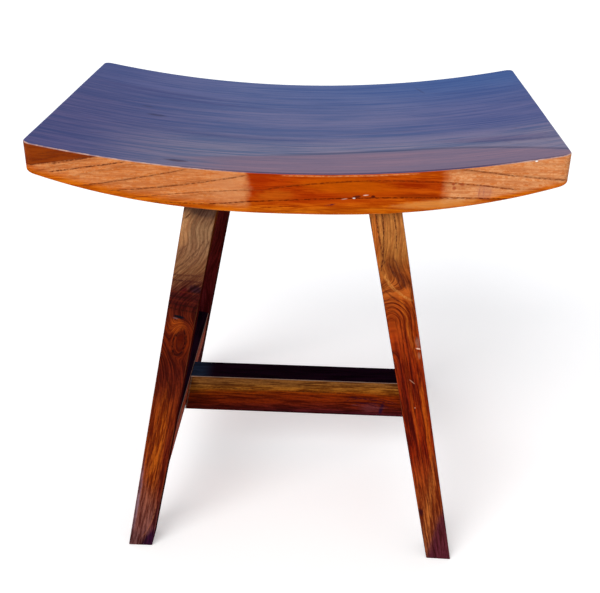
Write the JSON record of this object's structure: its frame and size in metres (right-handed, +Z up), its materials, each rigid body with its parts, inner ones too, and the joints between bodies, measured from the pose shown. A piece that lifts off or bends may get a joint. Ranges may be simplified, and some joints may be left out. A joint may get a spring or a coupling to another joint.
{
  "type": "stool",
  "caption": "Wooden stool with a thick dished plank seat on splayed tapered legs, pegged into side frames that one level cross rail joins.",
  "frame": {"origin": "on the floor, under the middle of the seat", "axes": "+X along the seat to the right as seen from the front, +Y towards the rear, +Z up"},
  "size_m": [0.486, 0.3576, 0.4503],
  "materials": {
    "seat_wood": "glossy clear varnish over red-brown grained wood, orange on the edges",
    "leg_wood": "semi-gloss varnish over brown wood, olive tan near the seat and dark at the feet",
    "rail_wood": "semi-gloss varnish over dark red-brown wood",
    "peg_wood": "thin varnish over end grain"
  },
  "bodies": {
    "root": {"cross_rail": "rail_wood", "front_left_leg": "leg_wood", "front_left_peg": "peg_wood", "front_right_leg": "leg_wood", "front_right_peg": "peg_wood", "left_cross_peg": "peg_wood", "left_side_rail": "rail_wood", "rear_left_leg": "leg_wood", "rear_left_peg": "peg_wood", "rear_right_leg": "leg_wood", "rear_right_peg": "peg_wood", "right_cross_peg": "peg_wood", "right_side_rail": "rail_wood", "seat": "seat_wood"}
  },
  "joints": []
}
